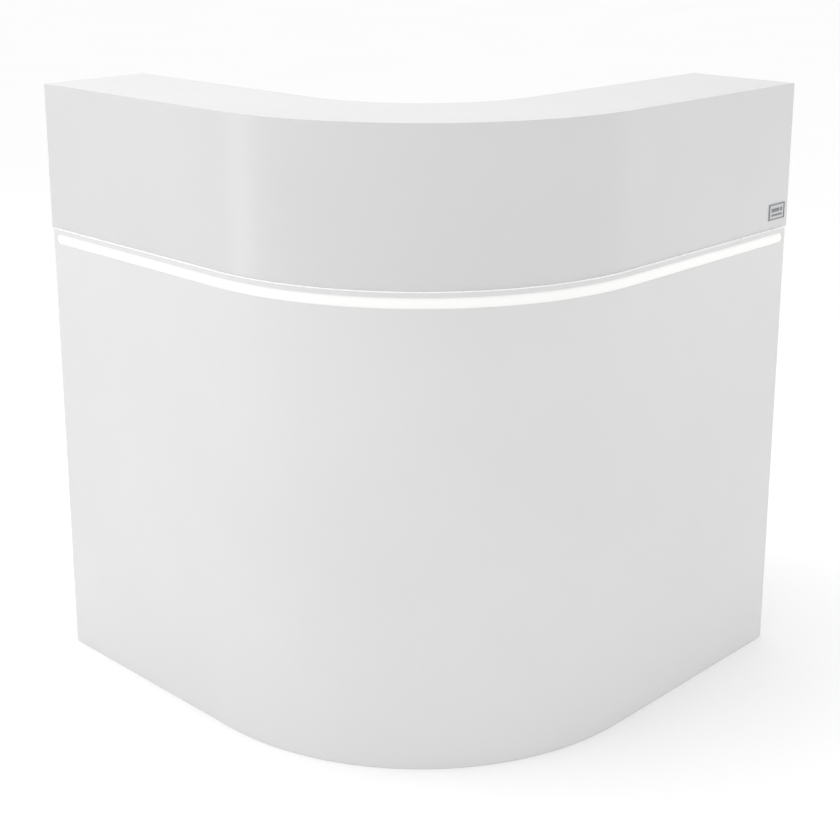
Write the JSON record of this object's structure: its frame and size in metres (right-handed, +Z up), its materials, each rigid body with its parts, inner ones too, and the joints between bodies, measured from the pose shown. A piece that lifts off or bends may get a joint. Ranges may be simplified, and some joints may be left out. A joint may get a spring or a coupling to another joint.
{
  "type": "curved corner checkout counter",
  "caption": "Curved corner checkout counter with a raised ledge, a light line round its front, and a staff side with drawers, a cupboard and open shelves.",
  "frame": {"origin": "on the floor under the middle of the counter's overall box", "axes": "+Z up; -Y towards the customer at the corner's middle; the wings run back to +X+Y and -X+Y"},
  "size_m": [1.4142, 0.8209, 1.14],
  "materials": {
    "laminate": "satin white laminate",
    "carcass_board": "matt white melamine-faced board",
    "opal_diffuser": "opal, lit",
    "led_tape": "lit",
    "aluminium_profile": "anodised",
    "zinc_steel": "zinc plated",
    "brushed_handle": "brushed",
    "lock_nickel": "satin nickel",
    "grommet_metal": "brushed anodised",
    "plate_silver": "satin",
    "black_plastic": "moulded",
    "driver_case": "moulded",
    "lead_sheath": "flexible sheath"
  },
  "bodies": {
    "counter": {"ledge_top": "laminate", "fascia_panel": "laminate", "left_ledge_end": "laminate", "right_ledge_end": "laminate", "body_panel": "laminate", "left_end_panel": "laminate", "right_end_panel": "laminate", "worktop": "laminate", "kick_board": "laminate", "ledge_rear_rail": "carcass_board", "ledge_uprights": "carcass_board", "fixing_batten": "carcass_board", "drawer_bay_side": "carcass_board", "cupboard_bay_side": "carcass_board", "base_panel": "carcass_board", "corner_shelf": "carcass_board", "drawer_bay_shelf": "carcass_board", "cupboard_shelf": "carcass_board", "led_diffuser": "opal_diffuser", "led_tape": "led_tape", "led_channel": "aluminium_profile", "angle_brackets": "zinc_steel", "bracket_screws": "zinc_steel", "shelf_pins": "zinc_steel", "joining_sleeves": "zinc_steel", "runner_outers": "zinc_steel", "lock_strikes": "zinc_steel", "power_box": "zinc_steel", "frame_hinge_leaves": "zinc_steel", "hinge_pins": "zinc_steel", "grommet_ring": "grommet_metal", "name_plate": "plate_silver", "power_inlet": "black_plastic", "switch_frame": "black_plastic", "floor_glides": "black_plastic", "lead_clips": "black_plastic", "led_driver": "driver_case", "led_lead": "lead_sheath", "supply_lead": "lead_sheath"},
    "upper_drawer": {"upper_drawer_front": "laminate", "upper_drawer_box": "carcass_board", "upper_drawer_bottom": "carcass_board", "upper_drawer_handle": "brushed_handle", "upper_runner_inners": "zinc_steel", "drawer_lock_case": "lock_nickel"},
    "lower_drawer": {"lower_drawer_front": "laminate", "lower_drawer_box": "carcass_board", "lower_drawer_bottom": "carcass_board", "lower_drawer_handle": "brushed_handle", "lower_runner_inners": "zinc_steel"},
    "upper_runner": {"upper_runner_mids": "zinc_steel"},
    "lower_runner": {"lower_runner_mids": "zinc_steel"},
    "drawer_lock": {"drawer_lock_barrel": "lock_nickel"},
    "door": {"cupboard_door": "laminate", "door_handle": "brushed_handle", "door_lock_case": "lock_nickel", "door_hinge_leaves": "zinc_steel"},
    "door_lock": {"door_lock_barrel": "lock_nickel"},
    "power_switch": {"switch_rocker": "black_plastic"},
    "grommet_lid": {"grommet_cap": "grommet_metal"}
  },
  "joints": [
    {"name": "upper_drawer_slide", "type": "slide", "parent": "counter", "child": "upper_drawer", "axis": [-0.7071, 0.7071, 0], "range_m": [0, 0.33]},
    {"name": "lower_drawer_slide", "type": "slide", "parent": "counter", "child": "lower_drawer", "axis": [-0.7071, 0.7071, 0], "range_m": [0, 0.33]},
    {"name": "upper_runner_slide", "type": "slide", "parent": "counter", "child": "upper_runner", "axis": [-0.7071, 0.7071, 0], "range_m": [0, 0.165]},
    {"name": "lower_runner_slide", "type": "slide", "parent": "counter", "child": "lower_runner", "axis": [-0.7071, 0.7071, 0], "range_m": [0, 0.165]},
    {"name": "drawer_lock_turn", "type": "hinge", "parent": "upper_drawer", "child": "drawer_lock", "pos_m": [0.24926, 0.26028, 0.711], "axis": [0.7071, -0.7071, 0], "range_deg": [0, 90]},
    {"name": "door_hinge", "type": "hinge", "parent": "counter", "child": "door", "pos_m": [-0.3836, 0.40311, 0.4], "axis": [0, 0, 1], "range_deg": [0, 105]},
    {"name": "door_lock_turn", "type": "hinge", "parent": "door", "child": "door_lock", "pos_m": [-0.14071, 0.15174, 0.64], "axis": [-0.7071, -0.7071, 0], "range_deg": [0, 90]},
    {"name": "power_switch_rock", "type": "hinge", "parent": "counter", "child": "power_switch", "pos_m": [0.36628, -0.18131, 0.47], "axis": [0, 0, -1], "range_deg": [0, 20]},
    {"name": "grommet_lid_turn", "type": "hinge", "parent": "counter", "child": "grommet_lid", "pos_m": [0, -0.10554, 0.76], "axis": [0, 0, 1], "range_deg": [0, 180]}
  ],
  "couplings": [
    {"joint": "upper_runner_slide", "follows": "upper_drawer_slide", "ratio": 0.5},
    {"joint": "lower_runner_slide", "follows": "lower_drawer_slide", "ratio": 0.5}
  ]
}
